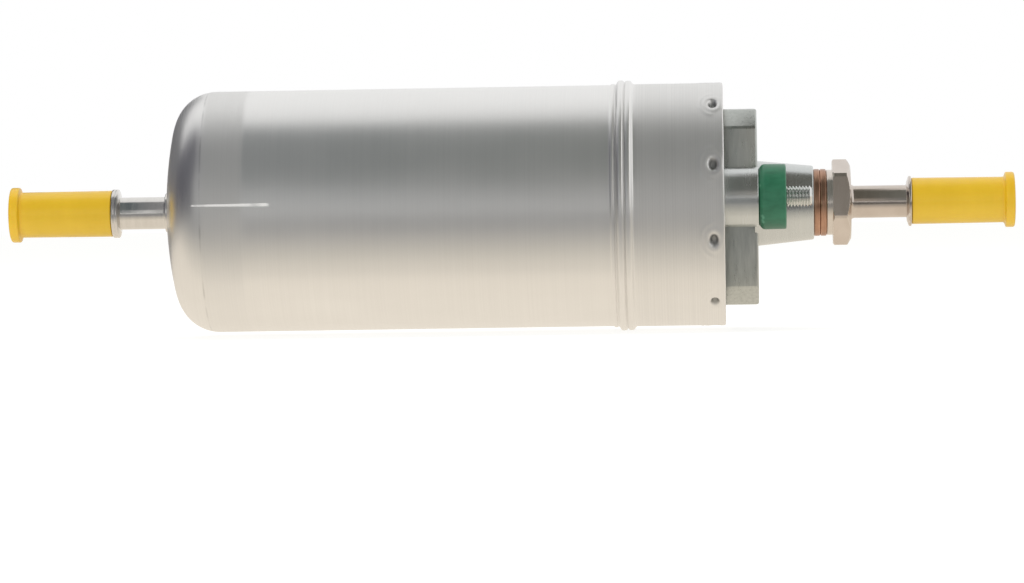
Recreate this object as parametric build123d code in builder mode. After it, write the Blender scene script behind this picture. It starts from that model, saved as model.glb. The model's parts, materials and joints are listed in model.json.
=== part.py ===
"""Inline electric fuel pump: a roller cell and its motor in a round can, between two hose spigots.

The pump axis is X, from the inlet at -X to the outlet at +X, with Z up. The origin is on that axis,
in the plain stretch of the can that a clamp strap holds. All sizes are in millimetres.
"""

import os
from math import atan2, cos, degrees, hypot, radians, sin, sqrt

from build123d import *

os.makedirs("parts", exist_ok=True)

# Running clearances
fit_gap = 0.08
face_gap = 0.05
wall_gap = 0.1

# Can
can_radius = 30.0
can_wall = 1.6
can_bore = can_radius - can_wall
dome_apex = -61.6
dome_height = 12.5
crown_radius = 100.0
ring_start = 49.3
ring_end = 55.1
ring_slope = 1.3
ring_height = 1.15
rim_radius = 30.1
rim_end = 77.05
rim_lip = 1.6
rim_mouth = 26.6
stake_count = 10
stake_turn = 17
stake_from_rim = 2.1
stake_ball = 1.6
stake_depth = 0.7

# Hose spigots and their caps
tube_radius = 4.0
tube_bore = 2.7
tip_chamfer = 0.8
spigot_length = 22.3
bead_chamfer = 0.4
bead_taper = 0.6
bead_foot = 0.5
inlet_bead_start = -75.7
inlet_bead_end = -73.7
inlet_bead_radius = 6.1
outlet_bead_start = 122.1
outlet_bead_end = 123.35
outlet_bead_radius = 6.25
collar_radius = 4.9
collar_length = 0.8
cap_length = 25.4
cap_body_radius = 5.75
cap_bore = 4.65
cap_flange_radius = 6.85
cap_flange_length = 2.4
cap_pin_length = 10.0
cap_dish_radius = 4.2
cap_dish_depth = 1.1
cap_draft = 0.1
cap_round = 0.5
cap_mouth_chamfer = 0.3
cap_pin_radius = tube_bore - wall_gap
cap_pin_point = 0.6

# Roller cell
cell_start = -47.0
inlet_plate_length = 6.0
roller_length = 8.0
outlet_plate_length = 6.0
ring_face = cell_start + inlet_plate_length
outlet_face = ring_face + roller_length
motor_start = outlet_face + outlet_plate_length
plate_radius = can_bore - wall_gap
track_radius = 16.4
track_offset = 0.8
rotor_radius = track_radius - track_offset - wall_gap
roller_radius = 2.3
roller_count = 5
port_radius = 13.4
port_width = 4.0
port_span = 95
screw_pitch = 30.4
screw_radius = 1.5
screw_head_radius = 2.7
screw_head_length = 2.2
screw_depth = 4.0
screw_socket_radius = 1.45
screw_socket_depth = 1.3
shaft_flat = 2.2
coupling_radius = 5.5
dog_length = 15.0
dog_width = 3.0

# Relief valve in the inlet plate, below the axis
relief_drop = -22.3
relief_hole = 1.5
relief_bore = 2.6
relief_boss = 3.6
relief_boss_start = cell_start - 6.0
relief_seat = ring_face - 2.0
relief_plug_length = 1.5
relief_plug_hole = 0.9
poppet_length = 5.0
poppet_nose = 1.2
poppet_hollow = 1.9
poppet_hollow_depth = 2.5

# Motor
shaft_radius = 3.0
shaft_end = 60.0
bush_radius = 5.0
thrust_end = 1.0
flux_length = 79.0
flux_wall = 2.0
flux_bore = plate_radius - flux_wall
magnet_bore = 20.2
magnet_start = -19.0
magnet_length = 46.0
magnet_span = 120
core_radius = 19.4
core_start = -16.0
core_length = 40.0
slot_count = 10
winding_length = 8.0
winding_radius = 18.0
winding_bore = 6.0
winding_round = 2.5
commutator_start = 33.0
commutator_length = 13.0
commutator_radius = 10.5
hub_rim_radius = 7.0
hub_rim_start = commutator_start - 0.8
commutator_gap = 0.6
hook_length = 1.5
hook_rise = 1.4

# Brush gear
brush_middle = 40.0
brush_length = 6.0
brush_width = 5.0
brush_end = 19.0
box_mouth = 11.4
box_end = 25.0
box_floor = 23.8
box_wall = 1.5
disc_length = 3.0
disc_bore = 11.7
disc_radius = flux_bore - 0.15
skirt_wall = 1.9
lead_radius = 0.7
lead_height = 17.5
lead_bend = 6.0
lead_slot_width = 2.0
lead_slot_floor = lead_height - 1.5

# End cover
cover_start = motor_start + flux_length
shoulder = rim_end - rim_lip
cover_plate = 6.6
cavity_radius = 23.4
hub_radius = 7.5
hub_hole_radius = 2.0
hub_hole_middle = 64.5
hub_start = 54.0
passage_radius = 4.0
bar_end = 85.3
bar_length = 48.6
bar_width = 16.0
bar_slope_height = 4.4
bar_slope_depth = 5.8
bar_drop = 0.77
bar_turn = 1.7
cone_start = 84.4
cone_end = 99.15
cone_root = 10.65
cone_tip = 9.15
seal_section = 1.1
seal_middle = 68.1
groove_width = 3.2

# Terminals, one each side of the cone
terminal_side = 18.5
terminal_lift = 1.6
terminal_boss_radius = 7.3
terminal_boss_end = 85.55
insulator_end = 92.1
insulator_radius = 8.0
insulator_chamfer = 1.0
insulator_round = 0.4
sleeve_radius = 4.4
sleeve_start = 63.0
stud_radius = 2.5
stud_end = 98.4
stud_head_radius = 4.2
stud_head_length = 3.0
stud_chamfer = 0.5
rib_width = 6.0
rib_end = 81.0
edge_round = 0.7

# Outlet fitting and its non-return valve
thread_radius = 5.0
thread_start = 87.2
sealing_washer_radius = 8.3
sealing_washer_length = 1.58
sealing_washer_gap = 0.02
sealing_washer_chamfer = 0.2
foot_radius = 8.1
hex_start = 103.8
hex_end = 108.3
hex_flats = 19.0
hex_turn = 20
hex_face_share = 0.96
shank_chamfer = 0.5
valve_bore = 3.6
valve_spring_end = 101.7
valve_length = 5.0
valve_nose = 1.2
valve_hollow = 2.7
valve_hollow_start = 2.0
valve_side_hole = 0.5
seat_length = 2.5
seat_hole = 2.0


def turned(start, end, outer, inner=0.0, mode=Mode.ADD):
    """Adds a round length on the pump axis, hollow where inner is given."""
    with BuildSketch(Plane.YZ.offset(start)) as section:
        Circle(outer)
        if inner:
            Circle(inner, mode=Mode.SUBTRACT)
    extrude(section.sketch, amount=end - start, mode=mode)


def post(start, end, radius, side, height, inner=0.0, mode=Mode.ADD):
    """Adds a round length parallel to the axis, at this place in Y and Z."""
    with BuildSketch(Plane.YZ.offset(start)) as section:
        with Locations((side, height)):
            Circle(radius)
            if inner:
                Circle(inner, mode=Mode.SUBTRACT)
    extrude(section.sketch, amount=end - start, mode=mode)


def lathe(*points, mode=Mode.ADD):
    """Turns an outline of (length, radius) points about the pump axis."""
    with BuildSketch(Plane.XZ) as section:
        with BuildLine():
            Polyline(*points, close=True)
        make_face()
    revolve(section.sketch, axis=Axis.X, mode=mode)


def sector(outer, inner, middle, span):
    """Draws part of a ring between two radii, about the angle middle, in degrees from +Y."""
    with BuildLine() as edge:
        far = CenterArc((0, 0), outer, middle - span / 2, span)
        near = CenterArc((0, 0), inner, middle - span / 2, span)
        Line(far @ 0, near @ 0)
        Line(far @ 1, near @ 1)
    make_face(edge.line.edges())


def radial_plane(along, angle):
    """Gives the plane at this length that looks outwards at this angle, in degrees from +Y."""
    outwards = (0, cos(radians(angle)), sin(radians(angle)))
    return Plane(origin=(along, 0, 0), x_dir=(1, 0, 0), z_dir=outwards)


def dome_arcs(inset):
    """Draws the dome's crown and knuckle, inset from the outside, and gives the knuckle's end."""
    radius = can_radius - inset
    crown = crown_radius - inset
    height = dome_height - inset
    apex = dome_apex + inset
    knuckle = (crown**2 - (crown - height) ** 2 - radius**2) / (2 * (crown - radius))
    back, up = height - crown, radius - knuckle
    share = crown / hypot(back, up)
    meeting = (apex + crown + back * share, up * share)
    crown_arc = TangentArc((apex, 0), meeting, tangent=(0, 1))
    return TangentArc(meeting, (apex + height, radius), tangent=crown_arc % 1) @ 1


def coil(start, end, mean_radius, wire, turns):
    """Adds a round-wire spring between two points, with room for half the wire at each end."""
    axis = (Vector(*end) - Vector(*start)).normalized()
    foot = Vector(*start) + axis * (wire + face_gap)
    height = (Vector(*end) - Vector(*start)).length - 2 * (wire + face_gap)
    with BuildLine() as path:
        Helix(height / turns, height, mean_radius, center=foot, direction=axis)
    with BuildSketch(Plane(origin=path.line @ 0, z_dir=path.line % 0)) as section:
        Circle(wire)
    sweep(section.sketch, path=path.line)


def finish(made, name):
    """Labels a finished piece and writes it under its name."""
    made.part.label = name
    export_step(made.part, f"parts/{name}.step")


# The can: dome, clamp stretch, raised ring, rim turned in over the cover and staked round
with BuildPart() as pump_can:
    with BuildSketch(Plane.XZ):
        with BuildLine():
            outside = dome_arcs(0)
            inside = dome_arcs(can_wall)
            shell = FilletPolyline(
                outside,
                (ring_start, can_radius),
                (ring_start + ring_slope, can_radius + ring_height),
                (ring_end - ring_slope, can_radius + ring_height),
                (ring_end, rim_radius),
                (rim_end, rim_radius),
                (rim_end, rim_mouth),
                radius=0.5,
            )
            Polyline(
                shell @ 1,
                (shoulder, rim_mouth),
                (shoulder, can_bore),
                inside,
            )
            Line((dome_apex, 0), (dome_apex + can_wall, 0))
        make_face()
    revolve(axis=Axis.X)
    turned(dome_apex - 1, cell_start, tube_radius, mode=Mode.SUBTRACT)
    for stake in range(stake_count):
        angle = 180 + stake_turn + stake * 360 / stake_count
        ball_height = rim_radius + stake_ball - stake_depth
        with Locations(radial_plane(rim_end - stake_from_rim, angle).offset(ball_height)):
            Sphere(stake_ball, mode=Mode.SUBTRACT)
finish(pump_can, "pump_can")


# Inlet fitting: spigot, bead, tube, and the collar and swaged lip that hold it in the dome
inlet_tip = inlet_bead_start - spigot_length
dome_inside = dome_apex + can_wall
lip_radius = 5.6
lip_gap = 0.2
lip_length = 0.9
lip_start = dome_inside + lip_gap
lip_end = lip_start + lip_length
with BuildPart() as inlet_fitting:
    lathe(
        (inlet_tip, tube_bore),
        (inlet_tip, tube_radius - tip_chamfer),
        (inlet_tip + tip_chamfer, tube_radius),
        (inlet_bead_start, tube_radius),
        (inlet_bead_start, inlet_bead_radius - bead_chamfer),
        (inlet_bead_start + bead_chamfer, inlet_bead_radius),
        (inlet_bead_end - bead_taper, inlet_bead_radius),
        (inlet_bead_end, tube_radius + bead_foot),
        (inlet_bead_end, tube_radius),
        (dome_apex - collar_length, tube_radius),
        (dome_apex - collar_length, collar_radius),
        (dome_apex, collar_radius),
        (dome_apex, tube_radius),
        (lip_start, tube_radius),
        (lip_start, lip_radius),
        (lip_end, lip_radius),
        (lip_end, tube_bore),
    )
finish(inlet_fitting, "inlet_fitting")


# Inlet strainer: a windowed cup between the inlet and the inlet plate
strainer_radius = 8.6
strainer_wall = 0.7
window_count = 8
window_length = 8.0
window_width = 3.6
window_middle = (lip_end + cell_start) / 2
with BuildPart() as inlet_strainer:
    turned(lip_end, lip_end + strainer_wall, strainer_radius, tube_radius)
    turned(lip_end, cell_start, strainer_radius, strainer_radius - strainer_wall)
    for window in range(window_count):
        with BuildSketch(radial_plane(window_middle, window * 360 / window_count)):
            SlotOverall(window_length, window_width)
        extrude(amount=strainer_radius + 1, mode=Mode.SUBTRACT)
finish(inlet_strainer, "inlet_strainer")


# Damping ring: rubber between the dome and the roller cell, notched for the fuel
damping_outer = 13.0
damping_inner = 10.0
notch_count = 6
notch_width = 4.0
notch_depth = 5.0
with BuildPart() as damping_ring:
    turned(dome_apex, cell_start, damping_outer, damping_inner)
    with BuildSketch(Plane.XZ):
        with BuildLine():
            knuckle_end = dome_arcs(can_wall)
            Polyline(knuckle_end, (cell_start, can_bore), (cell_start, 0), (dome_inside, 0))
        make_face()
    revolve(axis=Axis.X, mode=Mode.INTERSECT)
    with BuildSketch(Plane.YZ.offset(cell_start)):
        with PolarLocations((damping_outer + damping_inner) / 2, notch_count):
            Rectangle(damping_outer, notch_width)
    extrude(amount=-notch_depth, mode=Mode.SUBTRACT)
finish(damping_ring, "damping_ring")


# Inlet plate: suction port, blind screw holes and the relief valve's boss
with BuildPart() as inlet_plate:
    turned(cell_start, ring_face, plate_radius)
    post(relief_boss_start, cell_start, relief_boss, 0, relief_drop)
    with BuildSketch(Plane.YZ.offset(cell_start)):
        SlotArc(CenterArc((0, 0), port_radius, -port_span / 2, port_span), port_width)
    extrude(amount=inlet_plate_length, mode=Mode.SUBTRACT)
    with BuildSketch(Plane.YZ.offset(ring_face)):
        with GridLocations(screw_pitch, screw_pitch, 2, 2):
            Circle(screw_radius)
    extrude(amount=-screw_depth, mode=Mode.SUBTRACT)
    post(relief_boss_start, relief_seat, relief_bore, 0, relief_drop, mode=Mode.SUBTRACT)
    post(relief_seat, ring_face, relief_hole, 0, relief_drop, mode=Mode.SUBTRACT)
finish(inlet_plate, "inlet_plate")


# Relief poppet: cone nose on the seat, guided skirt, hollow for its spring
relief_axis = Axis((0, 0, relief_drop), (1, 0, 0))
poppet_start = relief_seat - poppet_length
poppet_radius = relief_bore - fit_gap
hollow_end = poppet_start + poppet_hollow_depth
with BuildPart() as relief_poppet:
    with BuildSketch(Plane.XZ):
        with BuildLine():
            Polyline(
                (poppet_start, relief_drop),
                (poppet_start, relief_drop + poppet_radius),
                (relief_seat - poppet_nose, relief_drop + poppet_radius),
                (relief_seat - face_gap, relief_drop + relief_hole),
                (relief_seat - face_gap, relief_drop),
                close=True,
            )
        make_face()
    revolve(axis=relief_axis)
    post(poppet_start, hollow_end, poppet_hollow, 0, relief_drop, mode=Mode.SUBTRACT)
finish(relief_poppet, "relief_poppet")


# Relief plug: closes the boss and carries the spring, with a hole for the return flow
plug_end = relief_boss_start + relief_plug_length
with BuildPart() as relief_plug:
    post(relief_boss_start, plug_end, relief_bore, 0, relief_drop, inner=relief_plug_hole)
finish(relief_plug, "relief_plug")

with BuildPart() as relief_spring:
    spring_from = (plug_end, 0, relief_drop)
    spring_to = (hollow_end, 0, relief_drop)
    coil(spring_from, spring_to, mean_radius=1.4, wire=0.2, turns=5)
finish(relief_spring, "relief_spring")


# Track ring: round bore set off the axis, with the screw holes and the relief passage
with BuildPart() as pump_ring:
    turned(ring_face, outlet_face, plate_radius)
    with BuildSketch(Plane.YZ.offset(ring_face)):
        with Locations((0, track_offset)):
            Circle(track_radius)
        with GridLocations(screw_pitch, screw_pitch, 2, 2):
            Circle(screw_radius)
        with Locations((0, relief_drop)):
            Circle(relief_hole)
    extrude(amount=roller_length, mode=Mode.SUBTRACT)
finish(pump_ring, "pump_ring")


# Drive coupling: two dogs in the rotor, on the flat of the shaft
rotor_start = ring_face + face_gap
rotor_end = outlet_face - face_gap
with BuildPart() as drive_coupling:
    with BuildSketch(Plane.YZ.offset(rotor_start)):
        Circle(coupling_radius)
        Rectangle(dog_length, dog_width)
        with BuildSketch(mode=Mode.SUBTRACT):
            Circle(shaft_radius)
            with Locations((0, shaft_flat)):
                Rectangle(dog_length, dog_width, align=(Align.CENTER, Align.MIN), mode=Mode.SUBTRACT)
    extrude(amount=rotor_end - rotor_start)
finish(drive_coupling, "drive_coupling")


# Rotor: a slot for each roller, as wide as the roller and its path round the track's own axis
slot_half = roller_radius + track_offset + wall_gap
slot_floor = track_radius - fit_gap - 2 * roller_radius - track_offset - wall_gap
with BuildPart() as rotor:
    with BuildSketch(Plane.YZ.offset(rotor_start)):
        Circle(rotor_radius)
        with PolarLocations(slot_floor, roller_count, start_angle=90):
            Rectangle(
                rotor_radius,
                2 * slot_half,
                align=(Align.MIN, Align.CENTER),
                mode=Mode.SUBTRACT,
            )
        Circle(coupling_radius, mode=Mode.SUBTRACT)
        Rectangle(dog_length, dog_width, mode=Mode.SUBTRACT)
    extrude(amount=rotor_end - rotor_start)
finish(rotor, "rotor")


# Rollers: on a circle about the track's axis
with BuildPart() as rollers:
    with BuildSketch(Plane.YZ.offset(rotor_start)):
        with Locations((0, track_offset)):
            with PolarLocations(track_radius - fit_gap - roller_radius, roller_count, start_angle=90):
                Circle(roller_radius)
    extrude(amount=rotor_end - rotor_start)
finish(rollers, "rollers")


# Outlet plate: delivery port, bush hole, screw holes and the relief passage
with BuildPart() as outlet_plate:
    turned(outlet_face, motor_start, plate_radius, bush_radius)
    with BuildSketch(Plane.YZ.offset(outlet_face)):
        SlotArc(CenterArc((0, 0), port_radius, 180 - port_span / 2, port_span), port_width)
        with GridLocations(screw_pitch, screw_pitch, 2, 2):
            Circle(screw_radius)
        with Locations((0, relief_drop)):
            Circle(relief_hole)
    extrude(amount=outlet_plate_length, mode=Mode.SUBTRACT)
finish(outlet_plate, "outlet_plate")


# Pump screws: socket heads on the motor side, into the inlet plate
screw_head_end = motor_start + screw_head_length
with BuildPart() as pump_screws:
    with BuildSketch(Plane.YZ.offset(ring_face - screw_depth)):
        with GridLocations(screw_pitch, screw_pitch, 2, 2):
            Circle(screw_radius)
    extrude(amount=motor_start - ring_face + screw_depth)
    with BuildSketch(Plane.YZ.offset(motor_start)):
        with GridLocations(screw_pitch, screw_pitch, 2, 2):
            Circle(screw_head_radius)
    extrude(amount=screw_head_length)
    with BuildSketch(Plane.YZ.offset(screw_head_end)):
        with GridLocations(screw_pitch, screw_pitch, 2, 2):
            RegularPolygon(screw_socket_radius, 6)
    extrude(amount=-screw_socket_depth, mode=Mode.SUBTRACT)
finish(pump_screws, "pump_screws")


# Shaft bearings
shaft_fit = 0.04
shaft_chamfer = 0.4
shaft_bore = shaft_radius + shaft_fit
shaft_tip = shaft_end - shaft_chamfer
with BuildPart() as front_bush:
    turned(outlet_face, motor_start, bush_radius, shaft_bore)
finish(front_bush, "front_bush")

with BuildPart() as rear_bush:
    turned(hub_start, shaft_end, bush_radius, shaft_bore)
finish(rear_bush, "rear_bush")


# Armature shaft: a flat in the coupling, round from there to the rear bush
with BuildPart() as armature_shaft:
    turned(rotor_start, shaft_tip, shaft_radius)
    chamfer(armature_shaft.edges().filter_by(GeomType.CIRCLE).sort_by(Axis.X)[-1], shaft_chamfer)
    with BuildSketch(Plane.YZ.offset(rotor_start)):
        with Locations((0, shaft_flat)):
            Rectangle(dog_length, dog_width, align=(Align.CENTER, Align.MIN))
    extrude(amount=rotor_end - rotor_start, mode=Mode.SUBTRACT)
finish(armature_shaft, "armature_shaft")


# Thrust washers: one at each end of the armature, on the shaft
with BuildPart() as thrust_washers:
    turned(motor_start + wall_gap, motor_start + thrust_end, bush_radius, shaft_radius)
    turned(hub_start - thrust_end, hub_start - wall_gap, bush_radius, shaft_radius)
finish(thrust_washers, "thrust_washers")


# Armature core: stack with a slot for each coil side, narrowed at the rim
slot_floor_radius = 8.4
slot_top_radius = 17.2
slot_floor_width = 2.2
slot_top_width = 7.0
slot_mouth_width = 1.6
slot_mouth_length = 8.0
core_end = core_start + core_length
slot_outline = (
    (slot_floor_radius, -slot_floor_width / 2),
    (slot_top_radius, -slot_top_width / 2),
    (slot_top_radius, slot_top_width / 2),
    (slot_floor_radius, slot_floor_width / 2),
)
with BuildPart() as armature_core:
    with BuildSketch(Plane.YZ.offset(core_start)):
        Circle(core_radius)
        Circle(shaft_radius, mode=Mode.SUBTRACT)
        with PolarLocations(0, slot_count):
            Polygon(*slot_outline, align=None, mode=Mode.SUBTRACT)
        with PolarLocations(slot_top_radius, slot_count):
            Rectangle(slot_mouth_length, slot_mouth_width, mode=Mode.SUBTRACT)
    extrude(amount=core_length)
finish(armature_core, "armature_core")


# Winding: coil sides through the slots, joined by the turns at both ends of the core
turns_middle = (winding_radius + winding_bore) / 2
turns_height = winding_radius - winding_bore
with BuildPart() as armature_winding:
    with BuildSketch(Plane.YZ.offset(core_start)):
        with PolarLocations(0, slot_count):
            Polygon(*slot_outline, align=None)
    extrude(amount=core_length)
    for turns_start in (core_start - winding_length, core_end):
        with BuildSketch(Plane.XZ):
            with Locations((turns_start + winding_length / 2, turns_middle)):
                RectangleRounded(winding_length, turns_height, winding_round)
        revolve(axis=Axis.X)
finish(armature_winding, "armature_winding")


# Commutator: moulded hub, and copper segments with hooks for the coil ends
commutator_end = commutator_start + commutator_length
hook_end = commutator_start + hook_length
with BuildPart() as commutator_hub:
    turned(hub_rim_start, commutator_end, hub_rim_radius, shaft_radius)
finish(commutator_hub, "commutator_hub")

with BuildPart() as commutator_segments:
    turned(commutator_start, commutator_end, commutator_radius, hub_rim_radius)
    turned(commutator_start, hook_end, commutator_radius + hook_rise, hub_rim_radius)
    with BuildSketch(Plane.YZ.offset(commutator_start)):
        with PolarLocations(commutator_radius, slot_count, start_angle=180 / slot_count):
            Rectangle(commutator_radius, commutator_gap)
    extrude(amount=commutator_length, mode=Mode.SUBTRACT)
finish(commutator_segments, "commutator_segments")


# Field: steel flux ring, two magnets, and the two spring clips that press them apart
flux_end = motor_start + flux_length
with BuildPart() as flux_ring:
    turned(motor_start, flux_end, plate_radius, flux_bore)
finish(flux_ring, "flux_ring")

clip_sheet = 0.6
for name, middle in (("upper_magnet", 90), ("lower_magnet", -90)):
    with BuildPart() as magnet:
        with BuildSketch(Plane.YZ.offset(magnet_start)):
            sector(flux_bore, magnet_bore, middle, magnet_span)
        extrude(amount=magnet_length)
        chamfer(magnet.edges().filter_by(Axis.X), clip_sheet)
    finish(magnet, name)

clip_leg = 3.4
clip_leg_span = 1.6
clip_inset = 4.0
clip_span = 180 - magnet_span
with BuildPart() as magnet_clips:
    with BuildSketch(Plane.YZ.offset(magnet_start + clip_inset)):
        for side in (0, 180):
            sector(flux_bore, flux_bore - clip_sheet, side, clip_span)
            for edge in (-1, 1):
                leg_angle = side + edge * (clip_span - clip_leg_span) / 2
                sector(flux_bore, flux_bore - clip_leg, leg_angle, clip_leg_span)
    extrude(amount=magnet_length - 2 * clip_inset)
finish(magnet_clips, "magnet_clips")


# Brush holder: two boxes on a disc, with a skirt that stands on the end cover
box_length = brush_length + 2 * wall_gap
disc_start = brush_middle + box_length / 2 + box_wall
disc_end = disc_start + disc_length
box_width = brush_width + 2 * wall_gap
with BuildPart() as brush_holder:
    turned(disc_start, disc_end, disc_radius, disc_bore)
    turned(disc_end, cover_start, disc_radius, disc_radius - skirt_wall)
    for side in (0, 180):
        with BuildSketch(radial_plane(brush_middle, side).offset(box_mouth)):
            Rectangle(box_length + 2 * box_wall, box_width + 2 * box_wall)
        extrude(amount=box_end - box_mouth)
    for side in (0, 180):
        with BuildSketch(radial_plane(brush_middle, side).offset(box_mouth)):
            Rectangle(box_length, box_width)
        extrude(amount=box_floor - box_mouth, mode=Mode.SUBTRACT)
        with BuildSketch(radial_plane(brush_middle, side).offset(lead_slot_floor)):
            Rectangle(disc_end - brush_middle, lead_slot_width, align=(Align.MIN, Align.CENTER))
        extrude(amount=box_floor - lead_slot_floor, mode=Mode.SUBTRACT)
finish(brush_holder, "brush_holder")


# Brushes, with the commutator's curve on their faces, their springs and their leads
for name, side in (("front", 180), ("rear", 0)):
    outwards = cos(radians(side))
    with BuildPart() as brush:
        with BuildSketch(radial_plane(brush_middle, side).offset(brush_end)):
            Rectangle(brush_length, brush_width)
        extrude(amount=commutator_radius - brush_end)
        turned(commutator_start, commutator_end, commutator_radius + fit_gap, mode=Mode.SUBTRACT)
    finish(brush, f"{name}_brush")

    with BuildPart() as brush_spring:
        spring_from = (brush_middle, outwards * brush_end, 0)
        spring_to = (brush_middle, outwards * box_floor, 0)
        coil(spring_from, spring_to, mean_radius=1.9, wire=0.25, turns=4)
    finish(brush_spring, f"{name}_brush_spring")

    lead_start = brush_middle + brush_length / 2
    lead_end = sleeve_start - stud_head_length
    lead_rise = -outwards * terminal_lift
    with BuildPart() as brush_lead:
        with BuildLine() as route:
            FilletPolyline(
                (lead_start, outwards * lead_height, 0),
                (lead_start + lead_bend, outwards * lead_height, 0),
                (lead_end - lead_bend, outwards * terminal_side, lead_rise),
                (lead_end, outwards * terminal_side, lead_rise),
                radius=lead_bend,
            )
        with BuildSketch(Plane(origin=route.line @ 0, z_dir=route.line % 0)):
            Circle(lead_radius)
        sweep()
    finish(brush_lead, f"{name}_brush_lead")


# End cover: plug with the seal's groove, hub of the rear bush, cross bar, outlet cone, two
# terminal bosses and the rib between them
rib_angle = -degrees(atan2(terminal_lift, terminal_side))
plate_start = shoulder - cover_plate
with BuildPart() as end_cover:
    turned(cover_start, shoulder, plate_radius, cavity_radius)
    turned(plate_start, shoulder, plate_radius)
    turned(hub_start, plate_start, hub_radius)
    with BuildSketch(Plane.YZ.offset(shoulder)):
        with Locations((0, -bar_drop)):
            Rectangle(bar_width, bar_length - 2 * bar_slope_height, rotation=bar_turn)
            Rectangle(bar_width - 2 * bar_slope_depth, bar_length, rotation=bar_turn)
        make_hull()
    extrude(amount=bar_end - shoulder)
    fillet(end_cover.faces().sort_by(Axis.X)[-1].edges(), edge_round)
    with BuildSketch(Plane.YZ.offset(shoulder)):
        Rectangle(2 * terminal_side, rib_width, rotation=rib_angle)
    extrude(amount=rib_end - shoulder)
    lathe((cone_start, 0), (cone_start, cone_root), (cone_end, cone_tip), (cone_end, 0))
    for outwards in (-1, 1):
        side, height = outwards * terminal_side, -outwards * terminal_lift
        post(shoulder, terminal_boss_end, terminal_boss_radius, side, height)
        post(plate_start, terminal_boss_end, sleeve_radius, side, height, mode=Mode.SUBTRACT)
    turned(hub_start, shaft_end, bush_radius, mode=Mode.SUBTRACT)
    turned(shaft_end, thread_start, passage_radius, mode=Mode.SUBTRACT)
    turned(thread_start, cone_end, thread_radius, mode=Mode.SUBTRACT)
    for hole in range(4):
        with BuildSketch(radial_plane(hub_hole_middle, 45 + hole * 90)):
            Circle(hub_hole_radius)
        extrude(amount=hub_radius + 1, mode=Mode.SUBTRACT)
    groove_floor = can_bore - 2 * seal_section
    groove_start = seal_middle - groove_width / 2
    groove_end = seal_middle + groove_width / 2
    turned(groove_start, groove_end, can_bore, groove_floor, mode=Mode.SUBTRACT)
finish(end_cover, "end_cover")

with BuildPart() as cover_seal:
    with BuildSketch(Plane.XZ):
        with Locations((seal_middle, can_bore - seal_section)):
            Circle(seal_section)
    revolve(axis=Axis.X)
finish(cover_seal, "cover_seal")


# Terminals, each a stud in its insulating sleeve
for name, outwards in (("front", -1), ("rear", 1)):
    side, height = outwards * terminal_side, -outwards * terminal_lift

    with BuildPart() as insulator:
        post(sleeve_start, terminal_boss_end, sleeve_radius, side, height, inner=stud_radius)
        post(terminal_boss_end, insulator_end, insulator_radius, side, height, inner=stud_radius)
        rims = insulator.edges().filter_by(GeomType.CIRCLE)
        rims = rims.filter_by(lambda edge: abs(edge.radius - insulator_radius) < 0.01)
        chamfer(rims.sort_by(Axis.X)[0], insulator_chamfer)
        fillet(rims.sort_by(Axis.X)[-1], insulator_round)
    finish(insulator, f"{name}_insulator")

    with BuildPart() as stud:
        post(sleeve_start - stud_head_length, sleeve_start, stud_head_radius, side, height)
        post(sleeve_start, stud_end, stud_radius, side, height)
        chamfer(stud.edges().filter_by(GeomType.CIRCLE).sort_by(Axis.X)[-1], stud_chamfer)
    finish(stud, f"{name}_stud")


# Sealing washers: two copper rings between the cone and the fitting's foot
foot_start = cone_end + 2 * sealing_washer_length
with BuildPart() as sealing_washers:
    for washer_start in (cone_end, cone_end + sealing_washer_length):
        washer_end = washer_start + sealing_washer_length
        turned(washer_start, washer_end - sealing_washer_gap, sealing_washer_radius, thread_radius)
    chamfer(sealing_washers.edges().filter_by(GeomType.CIRCLE), sealing_washer_chamfer)
finish(sealing_washers, "sealing_washers")


# Outlet fitting: screwed shank with the valve's bore, foot, hexagon with its corners turned off,
# tube, bead and spigot
hex_length = hex_end - hex_start
outlet_tip = outlet_bead_end + spigot_length
with BuildPart() as outlet_fitting:
    with BuildSketch(Plane.YZ.offset(hex_start)):
        RegularPolygon(hex_flats / sqrt(3), 6, rotation=hex_turn)
    extrude(amount=hex_length)
    for face, way in ((hex_start, 1), (hex_end, -1)):
        with BuildSketch(Plane.YZ.offset(face)):
            Circle(hex_flats / 2 * hex_face_share)
        extrude(amount=hex_length * way, taper=-60, mode=Mode.INTERSECT)
    lathe(
        (thread_start, 0),
        (thread_start, thread_radius - shank_chamfer),
        (thread_start + shank_chamfer, thread_radius),
        (foot_start, thread_radius),
        (foot_start, foot_radius),
        (hex_start, foot_radius),
        (hex_start, tube_radius),
        (outlet_bead_start, tube_radius),
        (outlet_bead_start, tube_radius + bead_foot),
        (outlet_bead_start + bead_taper, outlet_bead_radius),
        (outlet_bead_end - bead_chamfer, outlet_bead_radius),
        (outlet_bead_end, outlet_bead_radius - bead_chamfer),
        (outlet_bead_end, tube_radius),
        (outlet_tip - tip_chamfer, tube_radius),
        (outlet_tip, tube_radius - tip_chamfer),
        (outlet_tip, 0),
    )
    turned(thread_start, valve_spring_end, valve_bore, mode=Mode.SUBTRACT)
    turned(valve_spring_end, outlet_tip, tube_bore, mode=Mode.SUBTRACT)
finish(outlet_fitting, "outlet_fitting")


# Non-return valve: seat pressed into the shank, hollow poppet and spring
seat_end = thread_start + seat_length
valve_radius = valve_bore - fit_gap
valve_start = seat_end + face_gap
valve_end = valve_start + valve_length
with BuildPart() as valve_seat:
    turned(thread_start, seat_end, valve_bore, seat_hole)
finish(valve_seat, "valve_seat")

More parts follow.
